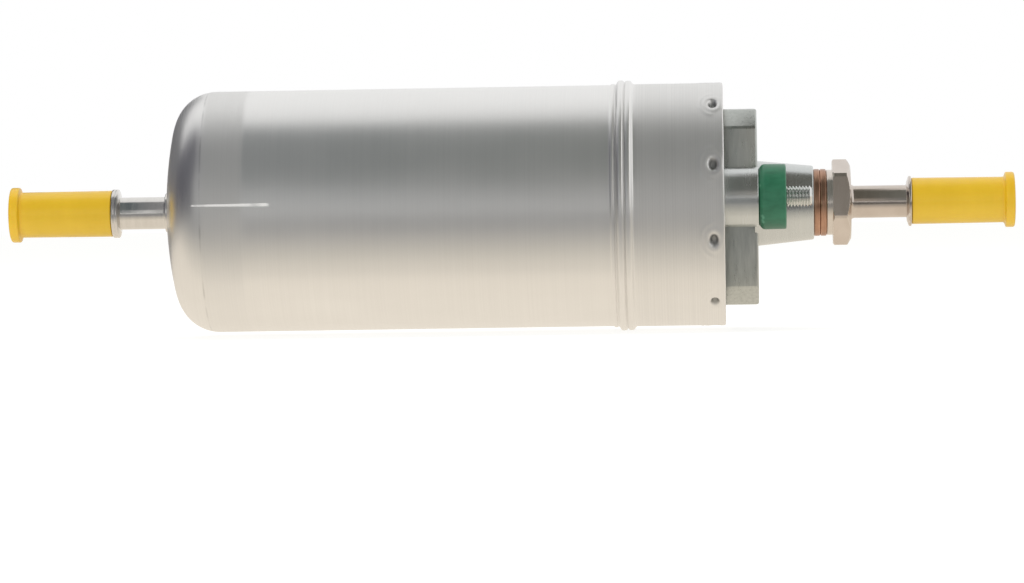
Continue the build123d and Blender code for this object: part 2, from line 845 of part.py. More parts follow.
with BuildPart() as valve_poppet:
    hollow_start = valve_start + valve_hollow_start
    lathe(
        (valve_start, 0),
        (valve_start, seat_hole),
        (valve_start + valve_nose, valve_radius),
        (valve_end, valve_radius),
        (valve_end, 0),
    )
    turned(hollow_start, valve_end, valve_hollow, mode=Mode.SUBTRACT)
    for hole in range(3):
        with BuildSketch(radial_plane(hollow_start + 2 * valve_side_hole, 90 + hole * 120)):
            Circle(valve_side_hole)
        extrude(amount=valve_radius + 1, mode=Mode.SUBTRACT)
finish(valve_poppet, "valve_poppet")

with BuildPart() as valve_spring:
    spring_from = (hollow_start, 0, 0)
    spring_to = (valve_spring_end, 0, 0)
    coil(spring_from, spring_to, mean_radius=2.3, wire=0.25, turns=6)
finish(valve_spring, "valve_spring")


# Transport caps: hollow, flanged at the closed end, with a middle pin in the tube's bore
for name, mouth, outwards in (
    ("inlet_cap", inlet_bead_start - wall_gap, -1),
    ("outlet_cap", outlet_bead_end + wall_gap, 1),
):
    closed_end = mouth + outwards * cap_length
    flange_start = closed_end - outwards * cap_flange_length
    cavity_end = mouth + outwards * (spigot_length + 2 * wall_gap)
    pin_start = cavity_end - outwards * cap_pin_length
    dish_floor = closed_end - outwards * cap_dish_depth
    with BuildPart() as cap:
        lathe(
            (mouth, cap_bore + cap_mouth_chamfer),
            (mouth, cap_body_radius),
            (flange_start, cap_body_radius - cap_draft),
            (flange_start, cap_flange_radius),
            (closed_end, cap_flange_radius),
            (closed_end, cap_dish_radius),
            (dish_floor, cap_dish_radius - cap_draft),
            (dish_floor, 0),
            (pin_start, 0),
            (pin_start, cap_pin_radius - cap_pin_point),
            (pin_start + outwards * cap_pin_point, cap_pin_radius),
            (cavity_end, cap_pin_radius),
            (cavity_end, cap_bore),
            (mouth + outwards * cap_mouth_chamfer, cap_bore),
        )
        flange_edges = cap.edges().filter_by(GeomType.CIRCLE)
        flange_edges = flange_edges.filter_by(
            lambda edge: abs(edge.radius - cap_flange_radius) < 0.01
        )
        fillet(flange_edges, cap_round)
    finish(cap, name)
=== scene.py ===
"""Inline fuel pump on a white ground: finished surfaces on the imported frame."""
import json
import math

import bmesh
import bpy
import numpy as np
from mathutils import Euler, Matrix, Vector


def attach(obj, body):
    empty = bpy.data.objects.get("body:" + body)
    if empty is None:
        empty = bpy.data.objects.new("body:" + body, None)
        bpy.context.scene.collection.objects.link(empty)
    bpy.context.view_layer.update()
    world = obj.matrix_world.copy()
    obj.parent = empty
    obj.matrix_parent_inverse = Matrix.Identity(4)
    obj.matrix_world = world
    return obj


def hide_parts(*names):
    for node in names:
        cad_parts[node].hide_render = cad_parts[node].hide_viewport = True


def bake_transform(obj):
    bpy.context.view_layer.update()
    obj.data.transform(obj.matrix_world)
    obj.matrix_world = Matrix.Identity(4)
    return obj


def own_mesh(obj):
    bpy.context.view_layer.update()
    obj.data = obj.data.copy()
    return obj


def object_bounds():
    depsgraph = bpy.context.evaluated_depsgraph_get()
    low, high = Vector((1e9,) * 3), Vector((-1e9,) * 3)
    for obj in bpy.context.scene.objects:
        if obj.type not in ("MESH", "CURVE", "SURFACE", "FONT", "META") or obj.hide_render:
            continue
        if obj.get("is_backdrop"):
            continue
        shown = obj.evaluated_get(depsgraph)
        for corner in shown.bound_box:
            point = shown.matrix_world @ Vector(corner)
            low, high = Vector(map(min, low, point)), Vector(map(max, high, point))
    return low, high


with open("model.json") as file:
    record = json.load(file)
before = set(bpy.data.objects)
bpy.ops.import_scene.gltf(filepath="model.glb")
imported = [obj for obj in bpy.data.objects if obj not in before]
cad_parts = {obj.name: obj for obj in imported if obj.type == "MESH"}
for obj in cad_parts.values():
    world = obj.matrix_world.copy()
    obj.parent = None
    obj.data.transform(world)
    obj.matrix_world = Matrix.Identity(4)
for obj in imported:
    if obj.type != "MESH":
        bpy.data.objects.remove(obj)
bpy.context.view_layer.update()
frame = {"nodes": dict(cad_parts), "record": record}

MM = 0.001
ROUND_STEPS = 5

# Sizes of the can, in millimetres, with lengths along X
CAN_RADIUS = 30.0
CAN_WALL = 1.6
DOME_APEX = -61.6
DOME_HEIGHT = 12.5
CROWN_RADIUS = 100.0
RIM_RADIUS = 30.1
RIM_END = 77.05
RIM_MOUTH = 26.6
SHOULDER = 75.45
STAKES = 10
STAKE_TURN = 17
STAKE_MIDDLE = 74.4
PIT_HALF_LENGTH = 1.5
PIT_HALF_WIDTH = 2.2
PIT_DEPTH = 1.3

# The rolled ring's ridges, each by its middle, half length and height
RIDGES = ((49.8, 0.5, 0.28), (51.75, 1.0, 1.12), (53.6, 1.0, 1.02))
RING_START = 48.7
RING_END = 55.6

# Marks on the can's surface
DRAW_MARK = -50.8
BURNISHED_END = -40.2
TURNED_START = 54.2
SCRIBE_START = -53.0
SCRIBE_END = -33.5
SCRIBE_HEIGHT = 1.6

# Hose tubes and outlet fitting
TUBE = 4.0
BORE = 2.7
INLET_TIP = -98.0
INLET_BEAD = -75.7
INLET_BEAD_RADIUS = 6.05
BEAD_NECK = 4.6
COLLAR_RADIUS = 4.9
FLANGE_RADIUS = 5.6
FLANGE_START = -59.8
FLANGE_END = -58.9
OUTLET_TIP = 145.65
OUTLET_BEAD = 123.35
OUTLET_BEAD_RADIUS = 6.25
SHANK_START = 87.2
SHANK_RADIUS = 5.0
VALVE_BORE = 3.6
VALVE_FLOOR = 101.7
FOOT_START = 102.31
FOOT_RADIUS = 8.1
HEX_START = 103.8
HEX_END = 108.3
HEX_FLATS = 19.0
HEX_TURN = 20
HEX_CORE = 4.7
HEX_BORE = 4.5
HEX_SLOPE = 1.7
HEX_WEAR = 0.228

# End cover
PLATE_RADIUS = 28.3
COVER_START = 52.0
COVER_PLATE = 68.85
CAVITY_RADIUS = 23.4
GROOVE_START = 66.5
GROOVE_END = 69.7
GROOVE_FLOOR = 26.2
HUB_RADIUS = 7.5
HUB_START = 54.0
HUB_FLOOR = 60.0
BUSH_RADIUS = 5.0
CHANNEL_RADIUS = 4.0
WAIST_RADIUS = 6.0
CONE_START = 84.4
CONE_END = 99.15
CONE_ROOT = 10.65
CONE_TIP = 9.15
BAR_END = 85.3
BAR_SIDE = 8.0
BAR_TOP = 24.3
BAR_SLOPE_HEIGHT = 4.4
BAR_SLOPE_DEPTH = 5.8
BAR_DROP = 0.77
BAR_TURN = 1.7
RIB_END = 81.0
RIB_SIDE = 3
CAST_START = SHOULDER - 0.5
CAST_EDGE = 0.6
COPPER_LENGTH = 1.56
COPPER_PITCH = 1.58
COPPER_RADIUS = 8.3
COPPER_BORE = 5.1

# Terminals
TERMINAL_SIDE = 18.5
TERMINAL_LIFT = 1.6
BOSS_RADIUS = 7.3
BOSS_ROOT = 6.0
BOSS_BORE = 4.4
BOSS_END = 85.55
SLEEVE_START = 63.0
INSULATOR_FOOT = 7.0
INSULATOR_RADIUS = 8.0
INSULATOR_END = 92.1
STUD_START = 60.0
STUD_HEAD = 4.2
STUD_RADIUS = 2.5
STUD_END = 98.4
THREAD_START = 91.85
THREAD_ROOT = 2.12
THREAD_PITCH = 0.8

# Brush gear and valves
BRUSH_MIDDLE = 40
BRUSH_END = 19.0
BOX_FLOOR = 23.8
LEAD_START = 43.0
LEAD_END = 60.0
LEAD_RADIUS = 0.7
LEAD_HEIGHT = 17.5
RELIEF_HEIGHT = -22.3

# Transport caps
CAP_LENGTH = 25.4
CAP_DEPTH = 22.5
CAP_BORE = 4.65
CAP_PLUG = 2.6
CAP_PLUG_LENGTH = 10.0
CAP_RADIUS = 5.75
CAP_FLANGE = 6.85
CAP_FLANGE_LENGTH = 2.4
CAP_DISH = 1.1

# Studio, in metres and degrees
FLOOR = -31.2 * MM
GROUND_REACH = 6
CARD_RADIUS = 1.2
CARD_FLOOR = -0.031
LAMP_AIM = Vector((0.02, 0, 0))
CAMERA_PLACE = (0.07532, -1.14778, 0.0)
CAMERA_LENS = 162.04
CAMERA_PITCH = -1.0462
CAMERA_YAW = 2.569
CAMERA_ROLL = -0.92


# Mesh building

def placed(name, data):
    """Puts a mesh, a lamp or a camera into the scene."""
    made = bpy.data.objects.new(name, data)
    bpy.context.scene.collection.objects.link(made)
    return made


def new_mesh(name, points, faces):
    """A mesh of these points, in metres, and faces."""
    mesh = bpy.data.meshes.new(name)
    mesh.from_pydata(points, [], faces)
    return mesh


def soften(mesh, sharp):
    """Turns a mesh's faces outwards and shades it smooth, but for edges sharper than this."""
    work = bmesh.new()
    work.from_mesh(mesh)
    bmesh.ops.recalc_face_normals(work, faces=work.faces)
    work.to_mesh(mesh)
    work.free()
    mesh.shade_smooth()
    mesh.set_sharp_from_angle(angle=math.radians(sharp))


def rounded(points):
    """Rounds the corners of a closed (length, radius, round) outline."""
    outline = []
    for index, point in enumerate(points):
        here = np.array(point[:2], float)
        if len(point) < 3:
            outline.append((here[0], here[1]))
            continue
        before = np.array(points[index - 1][:2], float) - here
        after = np.array(points[(index + 1) % len(points)][:2], float) - here
        reach = min(point[2], 0.48 * np.linalg.norm(before), 0.48 * np.linalg.norm(after))
        start = here + before / np.linalg.norm(before) * reach
        end = here + after / np.linalg.norm(after) * reach
        for t in np.linspace(0, 1, ROUND_STEPS + 1):
            spot = (1 - t) ** 2 * start + 2 * t * (1 - t) * here + t * t * end
            outline.append((spot[0], spot[1]))
    return outline


def rings(name, outline, around=128, side=0.0, height=0.0, closed=True, shape=None, sharp=32):
    """Turns an outline about a line along X. shape may move the points of each ring."""
    angles = np.linspace(0, 2 * math.pi, around, endpoint=False)
    points, faces, rows = [], [], []
    total = 0
    for along, radius in outline:
        if radius < 1e-6:
            points.append(np.array([[along, side, height]]))
            rows.append((total, 1))
            total += 1
            continue
        x = np.full(around, float(along))
        r = np.full(around, float(radius))
        if shape:
            x, r = shape(x, r, angles)
        points.append(np.stack([x, side + r * np.cos(angles), height + r * np.sin(angles)], 1))
        rows.append((total, around))
        total += around
    pairs = list(zip(rows, rows[1:]))
    if closed:
        pairs.append((rows[-1], rows[0]))
    for (a, a_count), (b, b_count) in pairs:
        for k in range(around):
            n = (k + 1) % around
            if a_count == 1 and b_count == 1:
                break
            if a_count == 1:
                faces.append((a, b + k, b + n))
            elif b_count == 1:
                faces.append((a + k, b, a + n))
            else:
                faces.append((a + k, b + k, b + n, a + n))
    mesh = new_mesh(name, (np.concatenate(points) * MM).tolist(), faces)
    soften(mesh, sharp)
    return placed(name, mesh)


def slab(name, start, end, outline):
    """A cast bar along X, with this outline of (side, height) points and rounded edges."""
    work = bmesh.new()
    near = [work.verts.new((start * MM, side * MM, height * MM)) for side, height in outline]
    far = [work.verts.new((end * MM, side * MM, height * MM)) for side, height in outline]
    work.faces.new(near)
    work.faces.new(far[::-1])
    for k in range(len(outline)):
        n = (k + 1) % len(outline)
        work.faces.new((near[k], far[k], far[n], near[n]))
    bmesh.ops.bevel(work, geom=list(work.edges), offset=CAST_EDGE * MM, segments=5, profile=0.5,
                    affect="EDGES")
    mesh = bpy.data.meshes.new(name)
    work.to_mesh(mesh)
    work.free()
    soften(mesh, 40)
    return placed(name, mesh)


def tube(name, points, around):
    """A closed tube through rings of points, given one ring after the other."""
    faces = [tuple(range(around)), tuple(range(len(points) - around, len(points)))]
    for a in range(0, len(points) - around, around):
        b = a + around
        faces += [(a + k, b + k, b + (k + 1) % around, a + (k + 1) % around) for k in range(around)]
    mesh = new_mesh(name, (points * MM).tolist(), faces)
    soften(mesh, 60)
    return placed(name, mesh)


def step(low, high, value):
    """Smooth step from 0 at low to 1 at high."""
    t = np.clip((value - low) / (high - low), 0, 1)
    return t * t * (3 - 2 * t)


# Node helpers

def wire(tree, source, target):
    """Links an output to an input."""
    tree.links.new(source, target)


def blank_tree(holder):
    """The emptied node tree of a material or a world."""
    holder.use_nodes = True
    holder.node_tree.nodes.clear()
    return holder.node_tree


def math_node(tree, kind, first, second=None, third=None):
    """Adds a Math node. Its inputs are sockets or numbers."""
    node = tree.nodes.new("ShaderNodeMath")
    node.operation = kind
    for slot, value in enumerate((first, second, third)):
        if value is None:
            continue
        if isinstance(value, (int, float)):
            node.inputs[slot].default_value = value
        else:
            wire(tree, value, node.inputs[slot])
    return node.outputs[0]


def ranged(tree, value, low, high, to_low, to_high, smooth=False):
    """Maps a value from one range to another, clamped."""
    node = tree.nodes.new("ShaderNodeMapRange")
    node.interpolation_type = "SMOOTHSTEP" if smooth else "LINEAR"
    wire(tree, value, node.inputs["Value"])
    for name, number in (("From Min", low), ("From Max", high), ("To Min", to_low), ("To Max", to_high)):
        node.inputs[name].default_value = number
    return node.outputs["Result"]


def band(tree, value, start, end, rise, fall):
    """1 between two lengths in millimetres, fading inwards from both over a rise and a fall."""
    return math_node(tree, "MULTIPLY", ranged(tree, value, start * MM, (start + rise) * MM, 0.0, 1.0),
                     ranged(tree, value, (end - fall) * MM, end * MM, 1.0, 0.0))


def away(tree, value, middle):
    """How far a value is from a length in millimetres."""
    return math_node(tree, "ABSOLUTE", math_node(tree, "SUBTRACT", value, middle * MM))


def blend_colour(tree, factor, first, second):
    """Mixes two colours, each a socket or three numbers."""
    node = tree.nodes.new("ShaderNodeMix")
    node.data_type = "RGBA"
    wire(tree, factor, node.inputs[0])
    for slot, value in ((6, first), (7, second)):
        if isinstance(value, tuple):
            node.inputs[slot].default_value = (*value, 1)
        else:
            wire(tree, value, node.inputs[slot])
    return node.outputs[2]


def noise(tree, scale, detail=3.0):
    """Noise over the object's own metres, with a scale for each axis."""
    place = tree.nodes.new("ShaderNodeTexCoord")
    stretch = tree.nodes.new("ShaderNodeMapping")
    stretch.inputs["Scale"].default_value = scale
    wire(tree, place.outputs["Object"], stretch.inputs["Vector"])
    node = tree.nodes.new("ShaderNodeTexNoise")
    node.inputs["Scale"].default_value = 1.0
    node.inputs["Detail"].default_value = detail
    node.inputs["Roughness"].default_value = 0.55
    wire(tree, stretch.outputs["Vector"], node.inputs["Vector"])
    return node.outputs["Fac"]


def axes(tree):
    """The object's own X, Y and Z, in metres."""
    place = tree.nodes.new("ShaderNodeTexCoord")
    split = tree.nodes.new("ShaderNodeSeparateXYZ")
    wire(tree, place.outputs["Object"], split.inputs[0])
    return split.outputs


def surface(name, light, dark, grain, cloud=(60, 60, 60), metal=0.0, rough=(0.3, 0.45), relief=0.00002,
            wear=None, patch=0.35, bump=0.5, **fixed):
    """A material with a fine grain, broader patches, its own roughness, relief and worn edges."""
    made = bpy.data.materials.new(name)
    made.use_nodes = True
    tree = made.node_tree
    shader = tree.nodes["Principled BSDF"]
    fine = noise(tree, grain, 4.0)
    broad = noise(tree, cloud)
    tint = ranged(tree, fine, 0.3, 0.7, 0.0, 1.0)
    colour = blend_colour(tree, tint, dark, light)
    shade = ranged(tree, broad, 0.35, 0.68, patch, 0.0)
    colour = blend_colour(tree, shade, colour, tuple(c * 0.72 for c in dark))
    if wear:
        edge = tree.nodes.new("ShaderNodeNewGeometry").outputs["Pointiness"]
        edge = ranged(tree, edge, 0.515, 0.56, 0.0, 0.7)
        colour = blend_colour(tree, edge, colour, wear)
    wire(tree, colour, shader.inputs["Base Color"])
    both = math_node(tree, "MULTIPLY_ADD", fine, 0.6, math_node(tree, "MULTIPLY", broad, 0.4))
    wire(tree, ranged(tree, both, 0.35, 0.65, *rough), shader.inputs["Roughness"])
    relief_node = tree.nodes.new("ShaderNodeBump")
    relief_node.inputs["Strength"].default_value = bump
    relief_node.inputs["Distance"].default_value = relief
    wire(tree, fine, relief_node.inputs["Height"])
    wire(tree, relief_node.outputs["Normal"], shader.inputs["Normal"])
    shader.inputs["Metallic"].default_value = metal
    for socket, value in fixed.items():
        shader.inputs[socket.replace("_", " ")].default_value = value
    return made


# Materials

def can_finish():
    """Drawn aluminium: fine turned lines round the can, a duller staked end and a scribed mark."""
    made = surface(
        "can_aluminium_finish", (0.86, 0.855, 0.84), (0.835, 0.83, 0.815), (1900, 12, 12),
        cloud=(34, 50, 50), metal=1.0, rough=(0.33, 0.40), relief=0.000004, patch=0.10, bump=0.2)
    tree = made.node_tree
    shader = tree.nodes["Principled BSDF"]
    x, y, z = axes(tree)
    turned = ranged(tree, x, TURNED_START * MM, (TURNED_START + 2.3) * MM, 0.0, 1.0, smooth=True)
    burnished = band(tree, x, DRAW_MARK, BURNISHED_END, 0.6, 1.0)
    rough = shader.inputs["Roughness"].links[0].from_socket
    rough = math_node(tree, "MULTIPLY_ADD", turned, 0.12, rough)
    wire(tree, math_node(tree, "MULTIPLY_ADD", burnished, 0.14, rough), shader.inputs["Roughness"])
    # lines left by the turning tool near the rim, and the draw mark at the dome
    lines = ranged(tree, noise(tree, (3200, 5, 5), 2.0), 0.42, 0.60, 1.0, 0.0)
    lines = math_node(tree, "MULTIPLY", lines, math_node(tree, "MULTIPLY_ADD", turned, 0.05, 0.02))
    draw = ranged(tree, away(tree, x, DRAW_MARK), 0.10 * MM, 0.34 * MM, 0.34, 0.0, smooth=True)
    patches = ranged(tree, noise(tree, (60, 140, 140), 2.0), 0.4, 0.6, 0.2, 1.0)
    draw = math_node(tree, "MULTIPLY", draw, patches)
    colour = shader.inputs["Base Color"].links[0].from_socket
    colour = blend_colour(tree, math_node(tree, "MAXIMUM", lines, draw), colour, (0.36, 0.355, 0.35))
    # painted shade in the stakes' pits: the colour darkens towards grey where the surface sinks into them
    squares = math_node(tree, "MULTIPLY_ADD", y, y, math_node(tree, "MULTIPLY", z, z))
    radius = math_node(tree, "SQRT", squares)
    pit_shade = ranged(tree, radius, 29.2 * MM, 29.9 * MM, 0.75, 0.0)
    pit = math_node(tree, "MULTIPLY", pit_shade, band(tree, x, 72.0, 76.6, 0.2, 0.2))
    colour = blend_colour(tree, pit, colour, (0.22, 0.225, 0.22))
    # the scribed mark on the front, wider to the right and broken up along its length
    width = ranged(tree, x, -52.0 * MM, -34.0 * MM, 0.28 * MM, 0.50 * MM)
    line = math_node(tree, "DIVIDE", away(tree, z, SCRIBE_HEIGHT), width)
    line = ranged(tree, math_node(tree, "SUBTRACT", 1.0, line), 0.0, 0.45, 0.0, 1.0)
    ends = band(tree, x, SCRIBE_START, SCRIBE_END, 0.6, 0.5)
    front = ranged(tree, y, -1.0 * MM, 0.0, 1.0, 0.0)
    broken = ranged(tree, noise(tree, (420, 10, 10), 2.0), 0.34, 0.52, 0.45, 1.0)
    mark = math_node(tree, "MULTIPLY", math_node(tree, "MULTIPLY", line, ends),
                     math_node(tree, "MULTIPLY", front, broken))
    wire(tree, blend_colour(tree, mark, colour, (0.68, 0.67, 0.65)), shader.inputs["Base Color"])
    wire(tree, math_node(tree, "MULTIPLY_ADD", mark, -0.85, 1.0), shader.inputs["Metallic"])
    return made


def finishes():
    """One material for each slot of the record, and one for the turned faces of the cover."""
    made = {"can_aluminium": can_finish()}

    def add(slot, *given, **named):
        made[slot] = surface(slot + "_finish", *given, **named)

    add("cast_aluminium", (0.60, 0.62, 0.59), (0.47, 0.49, 0.465), (1500, 1500, 200), metal=1.0,
        rough=(0.26, 0.36), relief=0.000012, patch=0.3)
    add("machined_aluminium", (0.63, 0.65, 0.64), (0.59, 0.61, 0.60), (900, 30, 30), metal=1.0,
        rough=(0.23, 0.29), relief=0.000002, patch=0.12)
    add("tube_steel", (0.76, 0.74, 0.71), (0.70, 0.68, 0.65), (900, 60, 60), metal=1.0,
        rough=(0.16, 0.24), relief=0.000003, wear=(0.82, 0.80, 0.77), patch=0.15)
    add("fitting_steel", (0.68, 0.61, 0.55), (0.60, 0.53, 0.47), (300, 90, 90), metal=1.0,
        rough=(0.16, 0.24), relief=0.000004, wear=(0.80, 0.76, 0.70), patch=0.25)
    add("zinc_steel", (0.72, 0.73, 0.71), (0.64, 0.65, 0.63), (700, 700, 700), metal=1.0,
        rough=(0.16, 0.26), relief=0.000004, wear=(0.82, 0.82, 0.80), patch=0.2)
    add("spring_steel", (0.48, 0.48, 0.49), (0.36, 0.36, 0.37), (500, 500, 500), metal=1.0,
        rough=(0.24, 0.36), relief=0.000005)
    add("sintered_steel", (0.36, 0.36, 0.37), (0.26, 0.26, 0.27), (1800, 1800, 1800), metal=1.0,
        rough=(0.42, 0.58))
    add("flux_steel", (0.46, 0.47, 0.49), (0.34, 0.35, 0.37), (260, 900, 900), metal=1.0,
        rough=(0.34, 0.48), relief=0.00001)
    add("cap_plastic", (0.72, 0.435, 0.012), (0.68, 0.405, 0.010), (300, 120, 120), rough=(0.30, 0.40),
        relief=0.000006, patch=0.12, Subsurface_Weight=0.06, Coat_Weight=0.15)
    add("green_plastic", (0.022, 0.150, 0.075), (0.014, 0.108, 0.053), (380, 700, 700),
        rough=(0.34, 0.48), patch=0.25, wear=(0.10, 0.27, 0.17))
    add("dark_plastic", (0.05, 0.05, 0.05), (0.03, 0.03, 0.03), (380, 700, 700), rough=(0.40, 0.55),
        wear=(0.11, 0.11, 0.11))
    add("holder_plastic", (0.17, 0.16, 0.14), (0.11, 0.10, 0.09), (600, 600, 600), rough=(0.45, 0.60))
    add("mesh_plastic", (0.78, 0.77, 0.70), (0.66, 0.65, 0.58), (1400, 1400, 1400), rough=(0.50, 0.65))
    add("hub_resin", (0.24, 0.13, 0.08), (0.16, 0.08, 0.05), (700, 700, 700), rough=(0.40, 0.55))
    add("copper", (0.58, 0.35, 0.24), (0.38, 0.215, 0.145), (650, 260, 260), metal=1.0,
        rough=(0.26, 0.44), relief=0.00001, wear=(0.86, 0.56, 0.40), patch=0.45)
    add("bronze", (0.64, 0.48, 0.26), (0.50, 0.36, 0.18), (1500, 1500, 1500), metal=1.0,
        rough=(0.40, 0.55))
    add("enamelled_wire", (0.54, 0.24, 0.11), (0.34, 0.13, 0.05), (160, 2400, 2400), metal=0.6,
        rough=(0.26, 0.40), relief=0.00006)
    add("magnet_ferrite", (0.12, 0.12, 0.13), (0.07, 0.07, 0.08), (1200, 1200, 1200), rough=(0.50, 0.66))
    add("carbon", (0.08, 0.08, 0.08), (0.04, 0.04, 0.04), (1600, 1600, 1600), rough=(0.45, 0.60))
    add("seal_rubber", (0.045, 0.045, 0.045), (0.025, 0.025, 0.025), (900, 900, 900), rough=(0.55, 0.70))
    return made


FINISH = finishes()
for part in frame["record"]["subparts"]:
    node = frame["nodes"][part["node"]]
    node.data.materials.clear()
    node.data.materials.append(FINISH[part["material_slot"]])


def stand_for(made, body, slot, node, finish=None):
    """Gives a piece its body and the material of its slot, or of the finish named, and hides the node that
    it stands for.
    """
    made.data.materials.append(FINISH[finish or slot])
    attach(made, body)
    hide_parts(node)


# The can

def dome(inset):
    """Points of the dome's crown and knuckle, from the axis outwards."""
    radius = CAN_RADIUS - inset
    crown = CROWN_RADIUS - inset
    height = DOME_HEIGHT - inset
    apex = DOME_APEX + inset
    knuckle = (crown**2 - (crown - height) ** 2 - radius**2) / (2 * (crown - radius))
    tilt = math.atan2(radius - knuckle, crown - height)
    points = [(apex + crown - crown * math.cos(a), crown * math.sin(a))
              for a in np.linspace(math.asin(TUBE / crown), tilt, 9)]
    points += [(apex + height - knuckle * math.cos(a), radius - knuckle + knuckle * math.sin(a))
               for a in np.linspace(tilt, math.pi / 2, 26)[1:]]
    return points


def hump(distance, middle, width):
    """A smooth rise to 1 at the middle."""
    return np.exp(-(((distance - middle) / width) ** 2))


def can_shape(x, r, angles):
    """Stakes round the rim, each a punched pit in a raised halo, and a wavy rim edge."""
    if x[0] < STAKE_MIDDLE - 6.4 or r[0] < CAN_RADIUS - 1:
        return x, r
    push = np.zeros_like(x)
    for number in range(STAKES):
        angle = math.radians(180 + STAKE_TURN + number * 360 / STAKES)
        across = RIM_RADIUS * ((angles - angle + math.pi) % (2 * math.pi) - math.pi)
        along = x - STAKE_MIDDLE
        spot = np.hypot(along / PIT_HALF_LENGTH, across / PIT_HALF_WIDTH)
        halo = np.hypot(along, across / 1.4)
        push -= PIT_DEPTH * (1 - step(0.25, 0.95, spot))
        push += 0.12 * hump(halo, 2.0, 0.45)
        push += 0.10 * hump(halo, 3.1, 0.5) * step(0.6, -0.8, along)
    edge = step(RIM_END - 1.0, RIM_END + 0.1, x)
    wave = 0.04 * np.sin(10 * angles + 0.4) + 0.02 * np.sin(23 * angles + 1.0) - 0.04
    return x + edge * wave, r + push * (1 - step(RIM_END - 0.6, RIM_END, x)) * 0.9


def ring_radius(x):
    """The rolled ring: a small ridge, then two round ones with a groove between them."""
    base = CAN_RADIUS + (RIM_RADIUS - CAN_RADIUS) * step(54.0, 55.3, x)
    return base + max(height * math.exp(-((x - middle) / half) ** 4) for middle, half, height in RIDGES)


outer = dome(0)
outer += [(x, CAN_RADIUS) for x in range(-40, 41, 20)]
outer += [(x, ring_radius(x)) for x in np.arange(RING_START, RING_END, 0.15)]
outer += [(x, RIM_RADIUS) for x in np.arange(58, 68, 2.5)]
outer += [(x, RIM_RADIUS) for x in np.arange(69.0, RIM_END - 0.45, 0.2)]
outer += rounded([(RIM_END - 3, RIM_RADIUS), (RIM_END, RIM_RADIUS, 0.4), (RIM_END, RIM_MOUTH, 0.5),
                  (SHOULDER, RIM_MOUTH)])[1:-1]
inner = [(SHOULDER, RIM_MOUTH), (SHOULDER, CAN_RADIUS - CAN_WALL)] + dome(CAN_WALL)[::-1]
can = rings("can_shell", outer + inner, around=720, shape=can_shape, sharp=50)
stand_for(can, "root", "can_aluminium", "pump_can")


# Hose tubes, each turned in one piece with its bead
bead_seam = INLET_BEAD + 0.95
bead_foot = INLET_BEAD + 2.0
collar = DOME_APEX - 0.8
inlet_tube = rings("inlet_tube", rounded([
    (INLET_TIP, BORE, 0.3), (INLET_TIP, TUBE, 0.8), (INLET_BEAD, TUBE, 0.1),
    (INLET_BEAD, INLET_BEAD_RADIUS, 0.4), (bead_seam - 0.15, INLET_BEAD_RADIUS + 0.03, 0.1),
    (bead_seam, INLET_BEAD_RADIUS - 0.09, 0.1), (bead_seam + 0.15, INLET_BEAD_RADIUS + 0.03, 0.1),
    (bead_foot - 0.4, INLET_BEAD_RADIUS, 0.4), (bead_foot, BEAD_NECK, 0.3), (bead_foot, TUBE, 0.2),
    (collar, TUBE, 0.3), (collar, COLLAR_RADIUS, 0.35), (DOME_APEX + 0.1, COLLAR_RADIUS, 0.1),
    (DOME_APEX + 0.2, TUBE), (FLANGE_START, TUBE), (FLANGE_START, FLANGE_RADIUS),
    (FLANGE_END, FLANGE_RADIUS), (FLANGE_END, BORE)]))
stand_for(inlet_tube, "root", "tube_steel", "inlet_fitting")

bead_foot = OUTLET_BEAD - 1.2
outlet_tube = rings("outlet_tube", rounded([
    (OUTLET_TIP, BORE, 0.3), (OUTLET_TIP, TUBE, 0.8), (OUTLET_BEAD, TUBE, 0.1),
    (OUTLET_BEAD, OUTLET_BEAD_RADIUS, 0.35), (OUTLET_BEAD - 0.65, OUTLET_BEAD_RADIUS, 0.35),
    (bead_foot, BEAD_NECK, 0.3), (bead_foot, TUBE, 0.2), (HEX_END + 0.6, TUBE, 0.4),
    (HEX_END - 0.1, HEX_CORE), (HEX_START + 0.1, HEX_CORE), (HEX_START + 0.1, FOOT_RADIUS),
    (FOOT_START, FOOT_RADIUS, 0.3), (FOOT_START, SHANK_RADIUS), (SHANK_START, SHANK_RADIUS, 0.5),
    (SHANK_START, VALVE_BORE), (VALVE_FLOOR, VALVE_BORE), (VALVE_FLOOR, BORE)]))
stand_for(outlet_tube, "root", "fitting_steel", "outlet_fitting")


# Outlet hexagon, with its corners turned off more at the outlet end
far_face = HEX_FLATS * 0.48
near_face = HEX_FLATS * 0.535
hex_corner = HEX_FLATS / math.sqrt(3)


def hex_shape(x, r, angles):
    """Shapes the outer rings into the hexagon."""
    if r[0] < far_face - 0.01:
        return x, r
    sector = np.radians((np.degrees(angles) - HEX_TURN) % 60 - 30)
    flat = HEX_FLATS / 2 / np.cos(sector)
    limit = np.minimum(near_face + (x - HEX_START) * HEX_SLOPE, far_face + (HEX_END - x) * HEX_SLOPE)
    return x, np.minimum(np.minimum(flat, hex_corner - HEX_WEAR), limit)


reach = (hex_corner - far_face) / HEX_SLOPE + 0.1
rows = np.concatenate([np.linspace(HEX_START, HEX_START + reach, 14),
                       np.linspace(HEX_END - reach, HEX_END, 14)])
outline = [(HEX_START, HEX_BORE), (HEX_START, far_face - 0.05)] + [(x, far_face) for x in rows]
outline += [(HEX_END, far_face - 0.05), (HEX_END, HEX_BORE)]
fitting_hex = rings("outlet_hexagon", outline, around=360, shape=hex_shape, sharp=24)
stand_for(fitting_hex, "root", "fitting_steel", "outlet_fitting")


# Copper sealing washers
for number in range(2):
    start = CONE_END + 0.01 + number * COPPER_PITCH
    end = start + COPPER_LENGTH
    ring = rings(f"copper_ring_{number + 1}", rounded([
        (start, COPPER_BORE, 0.2), (start, COPPER_RADIUS, 0.4), (end, COPPER_RADIUS, 0.4),
        (end, COPPER_BORE, 0.2)]), around=160)
    stand_for(ring, "root", "copper", "sealing_washers")


